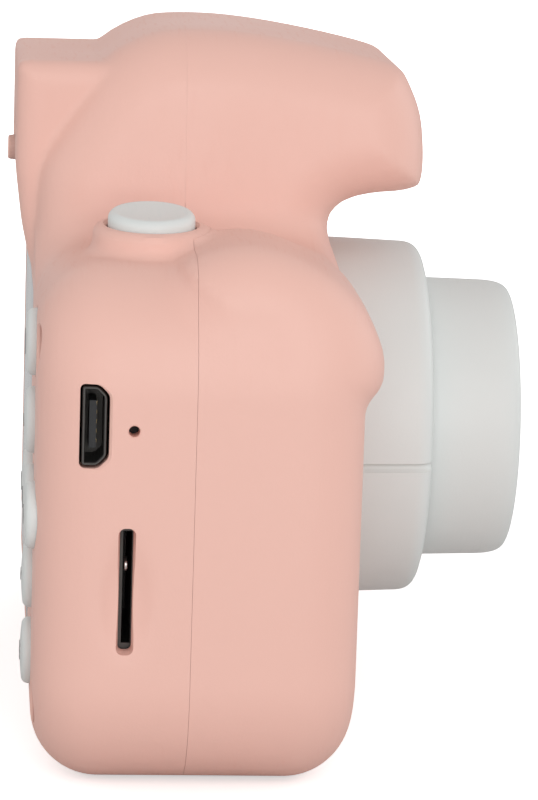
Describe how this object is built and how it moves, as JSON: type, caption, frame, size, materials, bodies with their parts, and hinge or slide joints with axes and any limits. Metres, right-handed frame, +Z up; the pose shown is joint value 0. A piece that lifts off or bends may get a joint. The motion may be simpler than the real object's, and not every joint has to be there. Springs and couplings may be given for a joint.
{
  "type": "toy digital camera",
  "caption": "Children's toy digital camera: two-part pink case with a raised hump, fixed white lens barrel, shutter button, rear buttons and screen.",
  "frame": {"origin": "on the flat underside, below the middle of the outline's length and depth", "axes": "+Z up, lens towards -Y, screen towards +Y, shutter button and grip at -X"},
  "size_m": [0.096, 0.0552, 0.0731],
  "materials": {
    "pink_shell": "satin moulded plastic",
    "white_plastic": "satin moulded plastic",
    "black_plastic": "matt moulded plastic",
    "dark_glass": "polished, dark behind",
    "clear_window": "clear window with a fine prism pattern",
    "circuit_board": "green solder mask",
    "plain_steel": "plain pressed steel",
    "led_resin": "clear yellow resin",
    "ribbon_film": "amber polyimide film",
    "display_panel": "display panel, unlit",
    "battery_wrap": "silver pouch film",
    "wire_red": "insulated wire"
  },
  "bodies": {
    "case": {"front_shell": "pink_shell", "rear_shell": "pink_shell", "lens_base_barrel": "white_plastic", "lens_front_barrel": "white_plastic", "lens_trim_ring": "black_plastic", "lens_window": "dark_glass", "flash_window": "clear_window", "screen_window": "dark_glass", "rear_camera_window": "dark_glass", "case_screw_1": "plain_steel", "case_screw_2": "plain_steel", "case_screw_3": "plain_steel", "case_screw_4": "plain_steel", "main_board": "circuit_board", "processor": "black_plastic", "microphone": "plain_steel", "reset_switch": "black_plastic", "shutter_switch": "black_plastic", "shutter_switch_board": "circuit_board", "flash_board": "circuit_board", "flash_light": "led_resin", "front_camera_module": "black_plastic", "front_camera_lens": "dark_glass", "front_camera_ribbon": "ribbon_film", "camera_bracket": "black_plastic", "rear_camera_module": "black_plastic", "rear_camera_ribbon": "ribbon_film", "screen_display": "display_panel", "screen_ribbon": "ribbon_film", "battery": "battery_wrap", "battery_lead": "wire_red", "speaker": "black_plastic", "board_screw_1": "plain_steel", "board_screw_2": "plain_steel", "charging_tongue": "black_plastic", "card_socket": "plain_steel", "charging_socket": "plain_steel", "power_switch": "black_plastic", "up_switch": "black_plastic", "left_switch": "black_plastic", "ok_switch": "black_plastic", "right_switch": "black_plastic", "down_switch": "black_plastic", "menu_switch": "black_plastic"},
    "shutter_button": {"shutter_button": "white_plastic"},
    "power_button": {"power_button": "white_plastic"},
    "up_button": {"up_button": "white_plastic"},
    "left_button": {"left_button": "white_plastic"},
    "ok_button": {"ok_button": "white_plastic"},
    "right_button": {"right_button": "white_plastic"},
    "down_button": {"down_button": "white_plastic"},
    "menu_button": {"menu_button": "white_plastic"}
  },
  "joints": [
    {"name": "shutter_button_press", "type": "slide", "parent": "case", "child": "shutter_button", "axis": [0, 0, -1], "range_m": [0, 0.001], "stiffness_N_per_m": 400, "springref_m": -0.001},
    {"name": "power_button_press", "type": "slide", "parent": "case", "child": "power_button", "axis": [0, -1, 0], "range_m": [0, 0.0006], "stiffness_N_per_m": 500, "springref_m": -0.0006},
    {"name": "up_button_press", "type": "slide", "parent": "case", "child": "up_button", "axis": [0, -1, 0], "range_m": [0, 0.0006], "stiffness_N_per_m": 500, "springref_m": -0.0006},
    {"name": "left_button_press", "type": "slide", "parent": "case", "child": "left_button", "axis": [0, -1, 0], "range_m": [0, 0.0006], "stiffness_N_per_m": 500, "springref_m": -0.0006},
    {"name": "ok_button_press", "type": "slide", "parent": "case", "child": "ok_button", "axis": [0, -1, 0], "range_m": [0, 0.0006], "stiffness_N_per_m": 500, "springref_m": -0.0006},
    {"name": "right_button_press", "type": "slide", "parent": "case", "child": "right_button", "axis": [0, -1, 0], "range_m": [0, 0.0006], "stiffness_N_per_m": 500, "springref_m": -0.0006},
    {"name": "down_button_press", "type": "slide", "parent": "case", "child": "down_button", "axis": [0, -1, 0], "range_m": [0, 0.0006], "stiffness_N_per_m": 500, "springref_m": -0.0006},
    {"name": "menu_button_press", "type": "slide", "parent": "case", "child": "menu_button", "axis": [0, -1, 0], "range_m": [0, 0.0006], "stiffness_N_per_m": 500, "springref_m": -0.0006}
  ]
}
